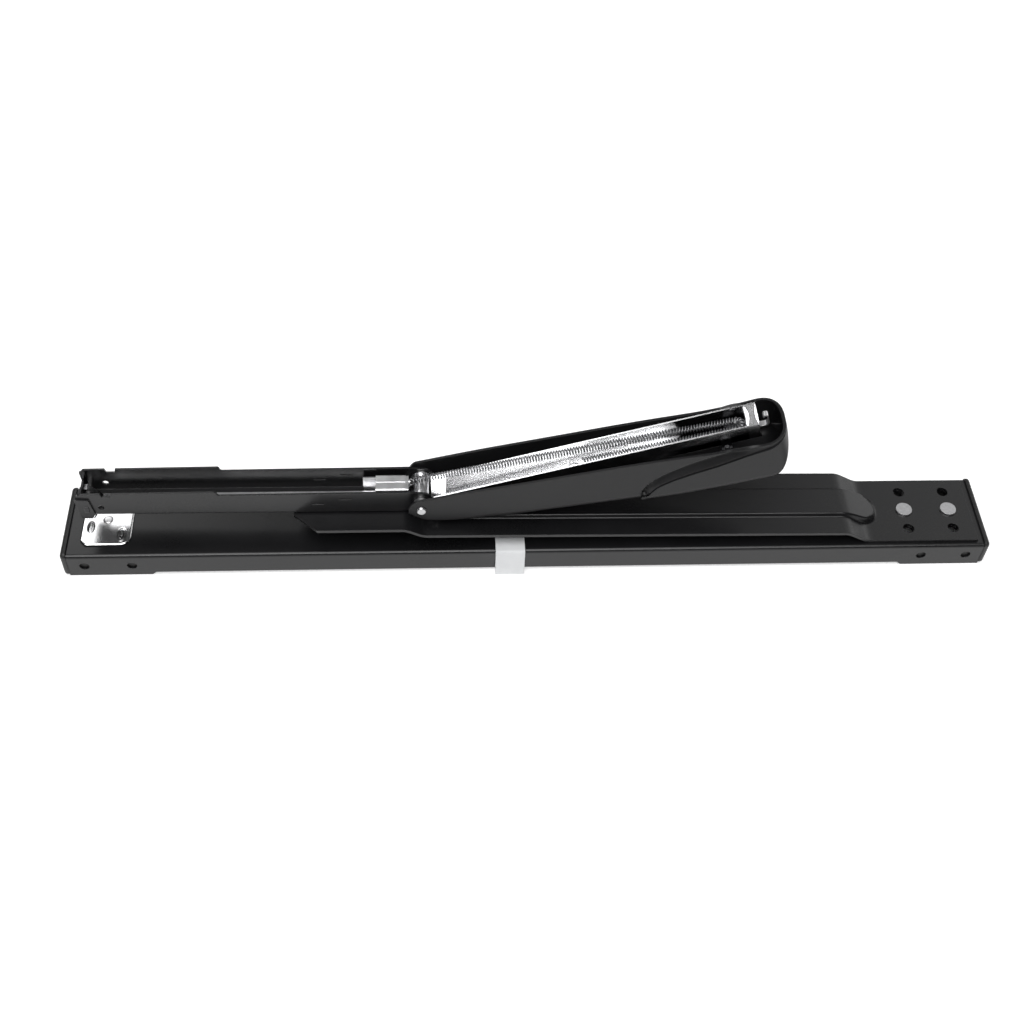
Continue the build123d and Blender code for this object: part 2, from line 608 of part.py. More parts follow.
def handle_block(inset, top_extra):
    """The handle's outer form, drawn in by inset on every side but the open one."""
    end = SHELL_END - inset
    floor = [(s, t + inset) for s, t in FLOOR_LINE] + [(end - 8.0, inset - 24.6), (end - 1.5, -17.0)]
    with BuildPart(mode=Mode.PRIVATE) as block:
        with BuildSketch(LEVER_SIDE):
            with BuildLine():
                Spline(*floor)
                Polyline(floor[-1], *[(s, rim(s) + top_extra) for s in (end, 138.0, 128.0, 92.0, 24.0, 4.5)],
                         floor[0])
            make_face()
        extrude(amount=20.0, both=True)
        add(handle_plan(inset), mode=Mode.INTERSECT)
        floor_edges = block.edges().filter_by(
            lambda e: abs(e.center().Y) > 9.0
            and LEVER_SIDE.to_local_coords(e.center()).Y < -9.0
            and e.length > 15
        )
        fillet(floor_edges, 4.5 - inset)
    return block.part


def handle_plan(inset):
    """The handle seen from its open side, with a rounded free end."""
    end = SHELL_END - inset
    side_points = [(along, half - inset) for along, half in SHELL_PLAN if along < end]
    side_points.append((end, SHELL_PLAN[-1][1] - inset))
    with BuildPart(mode=Mode.PRIVATE) as block:
        with BuildSketch(LEVER_PLAN.offset(-45)) as plan:
            outline(side_points + [(along, -half) for along, half in reversed(side_points)])
            far_corners = plan.vertices().filter_by(
                lambda v: LEVER_PLAN.to_local_coords(v.center()).X > end - 0.1
            )
            fillet(far_corners, 8.5 - inset)
        extrude(amount=70)
    return block.part


outer_form = handle_block(0.0, 0.0)
inner_form = handle_block(SHELL_WALL, 6.0)
with BuildPart() as handle_shell:
    add(outer_form)
    add(inner_form, mode=Mode.SUBTRACT)
    # Cheeks that carry the hinge rivet.
    for side in (-1, 1):
        with BuildSketch(LEVER_SIDE.offset(-side * (SHELL_HALF - SHELL_WALL))):
            with BuildLine():
                Line((CHEEK_END, CHEEK_FOOT), (-1.6, -5.9))
                ThreePointArc((-1.6, -5.9), (-CHEEK_RADIUS, 0.0), (-1.6, 5.9))
                Polyline((-1.6, 5.9), (CHEEK_END, rim(CHEEK_END)), (CHEEK_END, CHEEK_FOOT))
            make_face()
        extrude(amount=-side * SHELL_WALL)
    with BuildSketch(LEVER_SIDE):
        Circle(RIVET_D / 2 + RUNNING_FIT)
    extrude(amount=SHELL_HALF + 1, both=True, mode=Mode.SUBTRACT)
    # Bosses under the lever's screws.
    with BuildSketch(LEVER_PLAN.offset(BOSS_FOOT)):
        with Locations((SCREW_S, -SCREW_Y), (SCREW_S, SCREW_Y)):
            Circle(2.0)
    extrude(amount=-BOSS_FOOT - LEVER_DEPTH - 0.05)


# Pad that the palm presses, set proud of the shell beyond a curved groove.
pad_outer = handle_block(-PAD_PROUD, -0.6)
with BuildPart() as press_pad:
    add(pad_outer)
    add(outer_form, mode=Mode.SUBTRACT)
    with BuildSketch(LEVER_SIDE):
        with BuildLine():
            Spline(*PAD_LINE)
            Polyline(PAD_LINE[-1], (170.0, -7.0), (170.0, -40.0), (93.0, -40.0), PAD_LINE[0])
        make_face()
    extrude(amount=SHELL_HALF + 5, both=True, mode=Mode.INTERSECT)

# ---------------------------------------------------------------- lever channel
with BuildPart() as lever_channel:
    with BuildSketch(LEVER_SIDE):
        outline([*LEVER_RAMP, (LEVER_END, -LEVER_DEPTH), (LEVER_END, 0.0), (LEVER_RAMP[0][0], 0.0)])
        Circle(5.0)
    extrude(amount=LEVER_HALF, both=True)
    with BuildSketch(LEVER_SIDE):
        outline([
            (-10.0, -9.5), (LEVER_RAMP[0][0] - 0.1, -9.5),
            *[(along, height + 1.06 * LEVER_SHEET) for along, height in LEVER_RAMP],
            (LEVER_END + 1, LEVER_SHEET - LEVER_DEPTH), (LEVER_END + 1, 10.0), (-10.0, 10.0),
        ])
    extrude(amount=LEVER_INNER, both=True, mode=Mode.SUBTRACT)
    # The floor is cut away under the spring's far end.
    with BuildSketch(LEVER_PLAN.offset(-LEVER_DEPTH - 1)):
        with Locations((LEVER_CUT_S, 0)):
            SlotOverall(*LEVER_CUT)
        with Locations(LEVER_HOLE):
            Circle(LEVER_HOLE_D / 2)
    extrude(amount=2.5, mode=Mode.SUBTRACT)
    with BuildSketch(LEVER_SIDE):
        Circle(SLEEVE_D / 2 + RUNNING_FIT)
    extrude(amount=LEVER_HALF + 1, both=True, mode=Mode.SUBTRACT)
    # Waisted bridge between the two edges near the free end: it strikes the driver.
    with BuildSketch(LEVER_PLAN.offset(-LEVER_SHEET)):
        near, far = BRIDGE_S
        outline([
            (near, -LEVER_HALF), (far, -LEVER_HALF), (far - 0.8, -BRIDGE_WAIST), (far - 0.8, BRIDGE_WAIST),
            (far, LEVER_HALF), (near, LEVER_HALF), (near + 1.0, BRIDGE_WAIST), (near + 1.0, -BRIDGE_WAIST),
        ])
    extrude(amount=LEVER_SHEET)
    # Side lugs that the screws hold down.
    with BuildSketch(LEVER_PLAN.offset(-LEVER_DEPTH)):
        with Locations((SCREW_S, -SCREW_Y + 0.9), (SCREW_S, SCREW_Y - 0.9)):
            Rectangle(4.4, 3.6)
    extrude(amount=LEVER_SHEET)
    with BuildSketch(LEVER_PLAN.offset(-LEVER_DEPTH - 1)):
        with Locations((SCREW_S, -SCREW_Y), (SCREW_S, SCREW_Y)):
            Circle(0.7)
    extrude(amount=4, mode=Mode.SUBTRACT)

with BuildPart() as lever_screws:
    screw_places = [(SCREW_S, -SCREW_Y), (SCREW_S, SCREW_Y)]
    with BuildSketch(LEVER_PLAN.offset(LEVER_SHEET - LEVER_DEPTH + 0.02)):
        with Locations(*screw_places):
            Circle(0.95)
    extrude(amount=0.7)
    with BuildSketch(LEVER_PLAN.offset(-LEVER_DEPTH - 0.04)):
        with Locations(*screw_places):
            Circle(0.65)
    extrude(amount=LEVER_SHEET + 0.5)
    with BuildSketch(LEVER_PLAN.offset(LEVER_SHEET - LEVER_DEPTH + 0.45)):
        with Locations(*screw_places):
            Rectangle(1.5, 0.3)
            Rectangle(0.3, 1.5)
    extrude(amount=1, mode=Mode.SUBTRACT)

with BuildPart() as spring_post:
    with BuildSketch(LEVER_PLAN.offset(LEVER_SHEET - LEVER_DEPTH + 0.02)):
        with Locations((POST_S, POST_Y)):
            Circle(POST_D / 2)
    extrude(amount=LEVER_DEPTH - LEVER_SHEET - 0.9)
    with BuildSketch(LEVER_PLAN.offset(LEVER_SHEET - LEVER_DEPTH + 0.02)):
        with Locations((POST_S, POST_Y)):
            Circle(2.0)
    extrude(amount=0.6)

# A strip bent up from the end of the lever and curled over at its tip.
with BuildPart() as closing_hook:
    hook_start = LEVER_END + 0.1
    hook_floor = -LEVER_DEPTH + 0.1
    with BuildSketch(LEVER_SIDE):
        with BuildLine():
            Line((hook_start, hook_floor), (hook_start + 2.2, hook_floor))
            ThreePointArc((hook_start + 2.2, hook_floor), (hook_start + 3.7, hook_floor + 0.6),
                          (hook_start + 4.3, hook_floor + 2.2))
            Line((hook_start + 4.3, hook_floor + 2.2), (hook_start + 4.3, -2.4))
            ThreePointArc((hook_start + 4.3, -2.4), (hook_start + 3.1, -1.2), (hook_start + 1.9, -2.4))
            Line((hook_start + 1.9, -2.4), (hook_start + 2.6, -2.4))
            ThreePointArc((hook_start + 2.6, -2.4), (hook_start + 3.1, -1.9), (hook_start + 3.6, -2.4))
            Line((hook_start + 3.6, -2.4), (hook_start + 3.6, hook_floor + 2.2))
            ThreePointArc((hook_start + 3.6, hook_floor + 2.2), (hook_start + 3.2, hook_floor + 1.1),
                          (hook_start + 2.2, hook_floor + 0.7))
            Line((hook_start + 2.2, hook_floor + 0.7), (hook_start, hook_floor + 0.7))
            Line((hook_start, hook_floor + 0.7), (hook_start, hook_floor))
        make_face()
    extrude(amount=1.4, both=True)

# ---------------------------------------------------------------- pusher spring
# A close-wound tension spring, drawn as the tube its coils fill. It leaves the pusher's hook,
# passes over the hinge sleeve, runs out to the post, turns round it and comes back.
turn_radius = (SPRING_OD + POST_D) / 2 + 0.1
spring_tilt = radians(OPEN_ANGLE - 3.5)
spring_plane = Plane(
    origin=at_lever(POST_S, SPRING_HEIGHT, POST_Y),
    x_dir=(cos(spring_tilt), 0, sin(spring_tilt)),
    z_dir=(-sin(spring_tilt), 0, cos(spring_tilt)),
)
with BuildPart() as pusher_spring:
    with BuildLine(spring_plane):
        out_row = Line((-141.0, turn_radius), (0, turn_radius))
        turn = ThreePointArc((0, turn_radius), (turn_radius, 0), (0, -turn_radius))
        back_row = Line((0, -turn_radius), (-71.0, -turn_radius))
    with BuildSketch(Plane(origin=out_row @ 0, z_dir=out_row % 0)):
        Circle(SPRING_OD / 2)
        Circle(SPRING_BORE / 2, mode=Mode.SUBTRACT)
    sweep()

# ---------------------------------------------------------------- driver
with BuildPart() as driver_blade:
    with BuildSketch(Plane.YZ.offset(DRIVER_X - DRIVER_SHEET / 2)):
        outline([
            (-DRIVER_WIDTH / 2, DRIVER_Z[0]), (DRIVER_WIDTH / 2, DRIVER_Z[0]),
            (DRIVER_WIDTH / 2, DRIVER_Z[1]), (2.6, DRIVER_Z[1]), (2.0, DRIVER_Z[1] - 1.0),
            (-2.0, DRIVER_Z[1] - 1.0), (-2.6, DRIVER_Z[1]), (-DRIVER_WIDTH / 2, DRIVER_Z[1]),
        ])
    extrude(amount=DRIVER_SHEET)
    with BuildSketch(Plane.YZ.offset(DRIVER_X - 2)):
        with Locations((0, LEAF_Z)):
            Rectangle(3.6, 1.6)
    extrude(amount=4, mode=Mode.SUBTRACT)

with BuildPart() as driver_spring:
    leaf_foot = MAG_FLOOR_Z + RAIL_HEIGHT + 0.09
    with BuildSketch(Plane.XZ):
        outline([
            (-184.5, leaf_foot), (-184.5, leaf_foot + 0.35), (-188.0, leaf_foot + 0.35),
            (-193.6, LEAF_Z + 0.25), (DRIVER_X - 0.3, LEAF_Z + 0.35), (DRIVER_X - 0.3, LEAF_Z),
            (-193.4, LEAF_Z - 0.1), (-187.8, leaf_foot),
        ])
    extrude(amount=1.5, both=True)

# ---------------------------------------------------------------- written pieces
pieces = {
    "base_channel": base_channel,
    "front_end_cap": front_end_cap,
    "rear_end_cap": rear_end_cap,
    "long_arm": long_arm,
    "rear_rivets": rear_rivets,
    "anvil_plate": anvil_plate,
    "anvil_pivot": anvil_pivot,
    "anvil_spring": anvil_spring,
    "anvil_button": anvil_button,
    "paper_stop": paper_stop,
    "magazine_channel": magazine_channel,
    "magazine_rivets": magazine_rivets,
    "staple_rail": staple_rail,
    "nose_guide": nose_guide,
    "pusher": pusher,
    "pusher_hook": pusher_hook,
    "hinge_sleeve": hinge_sleeve,
    "hinge_rivet": hinge_rivet,
    "handle_shell": handle_shell,
    "press_pad": press_pad,
    "lever_channel": lever_channel,
    "lever_screws": lever_screws,
    "spring_post": spring_post,
    "closing_hook": closing_hook,
    "pusher_spring": pusher_spring,
    "driver_blade": driver_blade,
    "driver_spring": driver_spring,
}
for name, piece in pieces.items():
    save(piece, name)
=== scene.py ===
import json
import math

import bmesh
import bpy
import numpy as np
from mathutils import Matrix, Vector


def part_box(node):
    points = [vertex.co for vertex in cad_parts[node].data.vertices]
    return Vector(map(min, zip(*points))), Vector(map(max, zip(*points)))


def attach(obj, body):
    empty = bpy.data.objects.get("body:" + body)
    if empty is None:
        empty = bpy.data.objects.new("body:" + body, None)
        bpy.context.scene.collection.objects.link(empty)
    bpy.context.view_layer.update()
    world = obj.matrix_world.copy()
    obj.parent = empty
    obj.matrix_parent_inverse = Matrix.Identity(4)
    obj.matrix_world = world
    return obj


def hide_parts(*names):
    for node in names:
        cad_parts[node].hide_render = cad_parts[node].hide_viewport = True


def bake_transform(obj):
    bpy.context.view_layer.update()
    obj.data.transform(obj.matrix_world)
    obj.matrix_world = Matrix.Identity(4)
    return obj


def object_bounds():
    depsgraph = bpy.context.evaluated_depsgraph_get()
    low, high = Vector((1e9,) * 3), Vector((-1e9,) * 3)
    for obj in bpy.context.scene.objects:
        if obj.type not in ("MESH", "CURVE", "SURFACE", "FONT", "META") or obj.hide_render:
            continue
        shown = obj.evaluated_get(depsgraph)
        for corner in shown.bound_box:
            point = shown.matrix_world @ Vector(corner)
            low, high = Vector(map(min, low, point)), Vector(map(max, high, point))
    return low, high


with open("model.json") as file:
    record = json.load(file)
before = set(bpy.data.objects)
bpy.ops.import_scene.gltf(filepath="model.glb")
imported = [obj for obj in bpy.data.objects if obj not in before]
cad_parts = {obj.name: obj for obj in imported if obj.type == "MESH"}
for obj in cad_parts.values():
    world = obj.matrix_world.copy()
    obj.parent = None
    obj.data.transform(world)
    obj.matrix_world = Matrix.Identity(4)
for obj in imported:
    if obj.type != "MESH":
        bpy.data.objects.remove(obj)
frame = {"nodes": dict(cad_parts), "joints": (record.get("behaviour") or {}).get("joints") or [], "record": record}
cad_low, cad_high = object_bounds()
NODES = frame["nodes"]
JOINTS = {joint["name"]: joint for joint in frame["joints"]}
MM = 0.001

# ---------------------------------------------------------------- the hinge and the open lever's direction
HINGE = Vector(JOINTS["cover_open"]["pos_m"])
OPEN_ANGLE = math.radians(18.5)          # the lever above the horizontal in the open pose
ALONG = Vector((math.cos(OPEN_ANGLE), 0, math.sin(OPEN_ANGLE)))
OFF = Vector((-math.sin(OPEN_ANGLE), 0, math.cos(OPEN_ANGLE)))


def at_lever(along, height, y=0.0):
    """A point in millimetres from its places along the lever, off the lever's line and across it."""
    return HINGE / MM + ALONG * along + OFF * height + Vector((0, y, 0))


# ---------------------------------------------------------------- materials
class Finish:
    """A Principled material with short calls for the nodes around it."""

    def __init__(self, name):
        self.material = bpy.data.materials.new(name)
        self.material.use_nodes = True
        self.tree = self.material.node_tree
        self.shader = self.tree.nodes["Principled BSDF"]
        self.place = self.node("ShaderNodeTexCoord").outputs["Object"]

    def node(self, kind, **values):
        made = self.tree.nodes.new(kind)
        for key, value in values.items():
            setattr(made, key, value)
        return made

    def link(self, source, target):
        self.tree.links.new(source, target)

    def stretched(self, scale, tilt=0.0):
        """Places turned by tilt about Y, then scaled by axis."""
        turned = self.node("ShaderNodeMapping")
        turned.inputs["Rotation"].default_value = (0, tilt, 0)
        self.link(self.place, turned.inputs["Vector"])
        mapping = self.node("ShaderNodeMapping")
        mapping.inputs["Scale"].default_value = scale
        self.link(turned.outputs["Vector"], mapping.inputs["Vector"])
        return mapping.outputs["Vector"]

    def noise(self, scale, detail=3.0, place=None):
        """Grey noise; scale counts features per metre."""
        made = self.node("ShaderNodeTexNoise")
        made.inputs["Scale"].default_value = scale
        made.inputs["Detail"].default_value = detail
        self.link(place or self.place, made.inputs["Vector"])
        return made.outputs["Fac"]

    def ramp(self, source, low, high, out_low=0.0, out_high=1.0):
        """A straight ramp from out_low at low to out_high at high, level beyond them."""
        made = self.node("ShaderNodeMapRange")
        made.inputs["From Min"].default_value = low
        made.inputs["From Max"].default_value = high
        made.inputs["To Min"].default_value = out_low
        made.inputs["To Max"].default_value = out_high
        self.link(source, made.inputs["Value"])
        return made.outputs["Result"]

    def mix(self, share, first, second):
        """Colour mix; first and second are colours or sockets."""
        made = self.node("ShaderNodeMix", data_type="RGBA")
        self.link(share, made.inputs["Factor"])
        for value, socket in ((first, made.inputs["A"]), (second, made.inputs["B"])):
            if isinstance(value, tuple):
                socket.default_value = value + (1.0,)
            else:
                self.link(value, socket)
        return made.outputs["Result"]

    def calc(self, operation, first, second):
        """Arithmetic on numbers or sockets, clamped to 0..1."""
        made = self.node("ShaderNodeMath", operation=operation, use_clamp=True)
        for value, socket in ((first, made.inputs[0]), (second, made.inputs[1])):
            if isinstance(value, (int, float)):
                socket.default_value = value
            else:
                self.link(value, socket)
        return made.outputs[0]

    def rounded(self, radius):
        """A normal that rolls over edges, as if they had this radius."""
        bevel = self.node("ShaderNodeBevel", samples=4)
        bevel.inputs["Radius"].default_value = radius
        return bevel.outputs["Normal"]

    def edge_wear_and_sheen(self, rounded):
        """A mask that is 1 where the rounded normal leaves the face's own normal, near edges; the finishes lighten
        their colour there as edge wear and painted highlight.
        """
        geometry = self.node("ShaderNodeNewGeometry")
        dot = self.node("ShaderNodeVectorMath", operation="DOT_PRODUCT")
        self.link(rounded, dot.inputs[0])
        self.link(geometry.outputs["Normal"], dot.inputs[1])
        return self.ramp(dot.outputs["Value"], 0.985, 0.80)

    def bump(self, height, strength, distance, normal=None):
        """A normal bumped by height, on top of another normal where one is given."""
        made = self.node("ShaderNodeBump")
        made.inputs["Strength"].default_value = strength
        made.inputs["Distance"].default_value = distance
        self.link(height, made.inputs["Height"])
        if normal is not None:
            self.link(normal, made.inputs["Normal"])
        return made.outputs["Normal"]

    def finish(self, colour, roughness, normal, metallic=0.0, **more):
        """Links the sockets to the shader; more sets its other inputs by name."""
        self.link(colour, self.shader.inputs["Base Color"])
        self.link(roughness, self.shader.inputs["Roughness"])
        self.link(normal, self.shader.inputs["Normal"])
        self.shader.inputs["Metallic"].default_value = metallic
        for key, value in more.items():
            self.shader.inputs[key.replace("_", " ")].default_value = value
        return self.material


def black_enamel():
    """Baked satin enamel on sheet steel: faint orange peel, uneven gloss, and edges lightened as wear and painted
    highlight.
    """
    f = Finish("black_enamel")
    normal = f.rounded(0.35 * MM)
    cloud = f.noise(28, 4)
    fine = f.noise(5200, 2)
    colour = f.mix(f.ramp(cloud, 0.35, 0.7), (0.0055, 0.0055, 0.006), (0.0085, 0.0085, 0.0095))
    # Lighter edges, partly edge wear and partly painted highlight: the edge mask, broken up by noise, lightens the
    # enamel.
    wear_and_sheen = f.calc("MULTIPLY", f.edge_wear_and_sheen(normal), f.ramp(f.noise(420, 3), 0.45, 0.75))
    colour = f.mix(f.calc("MULTIPLY", wear_and_sheen, 0.35), colour, (0.16, 0.16, 0.17))
    rough = f.ramp(f.calc("ADD", f.calc("MULTIPLY", cloud, 0.6), f.calc("MULTIPLY", fine, 0.4)),
                   0.3, 0.7, 0.24, 0.36)
    normal = f.bump(f.noise(900, 2), 0.10, 0.05 * MM, normal)
    normal = f.bump(fine, 0.06, 0.02 * MM, normal)
    return f.finish(colour, rough, normal)


def black_shell():
    """Fine-grained moulded plastic."""
    f = Finish("black_shell")
    normal = f.rounded(0.3 * MM)
    cloud = f.noise(35, 3)
    grain = f.noise(6500, 2)
    colour = f.mix(f.ramp(cloud, 0.3, 0.7), (0.008, 0.008, 0.0085), (0.012, 0.012, 0.013))
    # Lighter edges: edge wear and a painted highlight along every edge.
    colour = f.mix(f.calc("MULTIPLY", f.edge_wear_and_sheen(normal), 0.12), colour, (0.10, 0.10, 0.105))
    rough = f.ramp(f.calc("ADD", f.calc("MULTIPLY", cloud, 0.5), f.calc("MULTIPLY", grain, 0.5)),
                   0.3, 0.7, 0.36, 0.50)
    normal = f.bump(grain, 0.22, 0.03 * MM, normal)
    return f.finish(colour, rough, normal, Specular_IOR_Level=0.31)


def black_cap():
    """Nylon of the end caps and the anvil's button."""
    f = Finish("black_cap")
    normal = f.rounded(0.3 * MM)
    cloud = f.noise(60, 3)
    grain = f.noise(3800, 2)
    colour = f.mix(f.ramp(cloud, 0.3, 0.7), (0.009, 0.009, 0.009), (0.014, 0.014, 0.014))
    # Lighter edges: edge wear and a painted highlight along every edge.
    colour = f.mix(f.calc("MULTIPLY", f.edge_wear_and_sheen(normal), 0.15), colour, (0.12, 0.12, 0.12))
    rough = f.ramp(grain, 0.3, 0.7, 0.42, 0.58)
    normal = f.bump(grain, 0.25, 0.04 * MM, normal)
    return f.finish(colour, rough, normal)


# The lever's stretch of painted shade, in metres along it from the hinge and below its edges.
PAINTED_SHADE_FADE_IN = (0.104, 0.116)
PAINTED_SHADE_FADE_OUT = (0.1444, 0.1436)
PAINTED_SHADE_TOP = (-0.0030, -0.0050)


def bright_chrome():
    """Nickel-chrome plate: faint handling smears, and painted shade: a dark stretch on the lever's floor near its
    end.
    """
    f = Finish("bright_chrome")
    smear = f.noise(60, 3)
    colour = f.mix(f.ramp(smear, 0.35, 0.65), (0.86, 0.86, 0.87), (0.94, 0.94, 0.95))
    parts = f.node("ShaderNodeSeparateXYZ")
    f.link(f.stretched((1, 1, 1), OPEN_ANGLE), parts.inputs["Vector"])
    hinge_along, hinge_off = HINGE.dot(ALONG), HINGE.dot(OFF)
    fade_in = f.ramp(parts.outputs["X"], *(hinge_along + place for place in PAINTED_SHADE_FADE_IN))
    fade_out = f.ramp(parts.outputs["X"], *(hinge_along + place for place in PAINTED_SHADE_FADE_OUT))
    below = f.ramp(parts.outputs["Z"], *(hinge_off + place for place in PAINTED_SHADE_TOP))
    painted_shade = f.calc("MULTIPLY", f.calc("MULTIPLY", fade_in, fade_out), below)
    painted_shade = f.calc("MULTIPLY", painted_shade, f.ramp(f.calc("ADD", f.noise(160, 3), painted_shade), 0.55, 1.0))
    # Painted shade: the lever's floor turns near-black over this stretch, standing in for shade and dark
    # reflection.
    colour = f.mix(painted_shade, colour, (0.015, 0.015, 0.016))
    rough = f.ramp(smear, 0.3, 0.7, 0.16, 0.26)
    normal = f.bump(f.noise(25, 2), 0.03, 0.3 * MM)
    return f.finish(colour, rough, normal, 1.0)


def satin_chrome():
    """The softer plate of the pusher, its rail and the hinge sleeve."""
    f = Finish("satin_chrome")
    normal = f.rounded(0.2 * MM)
    cloud = f.noise(180, 3)
    colour = f.mix(f.ramp(cloud, 0.3, 0.7), (0.80, 0.80, 0.81), (0.92, 0.92, 0.93))
    rough = f.ramp(cloud, 0.3, 0.7, 0.30, 0.40)
    normal = f.bump(f.noise(1400, 2), 0.08, 0.03 * MM, normal)
    return f.finish(colour, rough, normal, 1.0)


def zinc():
    """Satin zinc plate of rivets and screws."""
    f = Finish("zinc_rivet")
    normal = f.rounded(0.15 * MM)
    mottle = f.noise(700, 4)
    colour = f.mix(f.ramp(mottle, 0.3, 0.7), (0.50, 0.50, 0.51), (0.68, 0.68, 0.69))
    rough = f.ramp(mottle, 0.3, 0.7, 0.28, 0.46)
    normal = f.bump(f.noise(2400, 2), 0.15, 0.03 * MM, normal)
    return f.finish(colour, rough, normal, 1.0)


def wire():
    """Drawn spring wire, streaked and middling grey."""
    f = Finish("spring_steel")
    streak = f.noise(1500, 3)
    colour = f.mix(f.ramp(streak, 0.3, 0.7), (0.26, 0.26, 0.27), (0.40, 0.40, 0.41))
    rough = f.ramp(f.noise(240, 2), 0.3, 0.7, 0.22, 0.36)
    normal = f.bump(streak, 0.08, 0.02 * MM)
    return f.finish(colour, rough, normal, 1.0)


def hard_steel():
    """Dark hardened steel, ground in upright lines."""
    f = Finish("hard_steel")
    normal = f.rounded(0.15 * MM)
    ground = f.noise(1.0, 3, f.stretched((3000, 3000, 160)))
    colour = f.mix(f.ramp(ground, 0.3, 0.7), (0.035, 0.035, 0.037), (0.07, 0.07, 0.072))
    rough = f.ramp(ground, 0.3, 0.7, 0.36, 0.50)
    normal = f.bump(ground, 0.08, 0.02 * MM, normal)
    return f.finish(colour, rough, normal, 1.0)


def pale_plastic():
    """Pale grey moulded plastic of the paper stop."""
    f = Finish("pale_plastic")
    normal = f.rounded(0.3 * MM)
    cloud = f.noise(120, 3)
    colour = f.mix(f.ramp(cloud, 0.3, 0.7), (0.70, 0.71, 0.72), (0.76, 0.77, 0.78))
    rough = f.ramp(f.noise(2600, 2), 0.3, 0.7, 0.42, 0.56)
    normal = f.bump(f.noise(3200, 2), 0.15, 0.03 * MM, normal)
    return f.finish(colour, rough, normal, 0.0)


MATERIALS = {
    "black_enamel": black_enamel(),
    "black_shell": black_shell(),
    "black_cap": black_cap(),
    "bright_chrome": bright_chrome(),
    "satin_chrome": satin_chrome(),
    "zinc_rivet": zinc(),
    "spring_steel": wire(),
    "hard_steel": hard_steel(),
    "pale_plastic": pale_plastic(),
}
SLOT_OF = {part["node"]: part["material_slot"] for part in frame["record"]["subparts"]}
# Nodes whose finish is not the one named after their slot.
SATIN_NODES = ("staple_rail", "pusher", "pusher_hook", "hinge_sleeve", "anvil_pivot", "closing_hook")
FINISH_OF = {"lever_screws": "hard_steel", **{name: "satin_chrome" for name in SATIN_NODES}}


def paint(piece, slot, finish=None):
    """Gives a piece the finish named after its slot, or another finish where one is named."""
    piece.data.materials.clear()
    piece.data.materials.append(MATERIALS[finish or slot])


for name, node in NODES.items():
    paint(node, SLOT_OF[name], FINISH_OF.get(name))


# ---------------------------------------------------------------- mesh helpers
def polyline(points, values, softness=0.0):
    """Height of a line of (place, height) points, its corners rounded over softness each way."""
    places, heights = zip(*points)
    shifts = np.linspace(-softness, softness, 9) if softness else (0.0,)
    return sum(np.interp(np.asarray(values) + shift, places, heights) for shift in shifts) / len(shifts)


def smoothstep(values, start, end):
    """0 before start, 1 after end and a smooth rise between."""
    share = np.clip((np.asarray(values, float) - start) / (end - start), 0, 1)
    return share * share * (3 - 2 * share)


def add_piece(name, points, faces, slot, body=None):
    """A new smooth mesh from millimetre points in the row frame, painted and riding on its body."""
    mesh = bpy.data.meshes.new(name)
    mesh.from_pydata([Vector(p) * MM for p in points], [], faces)
    mesh.validate()
    mesh.shade_smooth()
    piece = bpy.data.objects.new(name, mesh)
    bpy.context.scene.collection.objects.link(piece)
    paint(piece, slot)
    if body:
        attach(piece, body)
    return piece


def grid_faces(rows, columns, keep=lambda row, column: True):
    """Quads of a rows x columns grid of points, numbered row by row."""
    return [
        (r * columns + c, r * columns + c + 1, (r + 1) * columns + c + 1, (r + 1) * columns + c)
        for r in range(rows - 1)
        for c in range(columns - 1)
        if keep(r, c)
    ]


def face_outwards(piece, direction):
    """Turns all faces over where the first one points away from the direction."""
    if piece.data.polygons[0].normal.dot(Vector(direction)) < 0:
        piece.data.flip_normals()


def apply_modifiers(piece):
    depsgraph = bpy.context.evaluated_depsgraph_get()
    final = bpy.data.meshes.new_from_object(piece.evaluated_get(depsgraph))
    piece.modifiers.clear()
    piece.data = final


def thicken(piece, thickness, sharp):
    """Gives a sheet its thickness below the drawn face; sharp is its least sharp edge in degrees."""
    solid = piece.modifiers.new("thickness", "SOLIDIFY")
    solid.thickness = thickness * MM
    solid.offset = -1
    solid.use_even_offset = True
    apply_modifiers(piece)
    piece.data.set_sharp_from_angle(angle=math.radians(sharp))


DRILL_SIDES = 32


def drill(piece, places, radius, bottom, top):
    """Round holes down through a piece; places are (x, y) in millimetres."""
    points, faces = [], []
    for x, y in places:
        first = len(points)
        for z in (bottom, top):
            for step in range(DRILL_SIDES):
                turn = 2 * math.pi * step / DRILL_SIDES
                points.append((x + radius * math.cos(turn), y + radius * math.sin(turn), z))
        faces.append(tuple(first + step for step in reversed(range(DRILL_SIDES))))
        faces.append(tuple(first + DRILL_SIDES + step for step in range(DRILL_SIDES)))
        for step in range(DRILL_SIDES):
            low, low_after = first + step, first + (step + 1) % DRILL_SIDES
            faces.append((low, low_after, low_after + DRILL_SIDES, low + DRILL_SIDES))
    mesh = bpy.data.meshes.new("cutter")
    mesh.from_pydata([Vector(p) * MM for p in points], [], faces)
    cutter = bpy.data.objects.new("cutter", mesh)
    bpy.context.scene.collection.objects.link(cutter)
    cut = piece.modifiers.new("holes", "BOOLEAN")
    cut.object = cutter
    cut.operation = "DIFFERENCE"
    cut.solver = "EXACT"
    apply_modifiers(piece)
    bpy.data.objects.remove(cutter)
    bpy.data.meshes.remove(mesh)


TUBE_SIDES = 6
TUBE_START_NORMAL = (0.3, 0.9, 0.2)     # any direction that no wire starts along


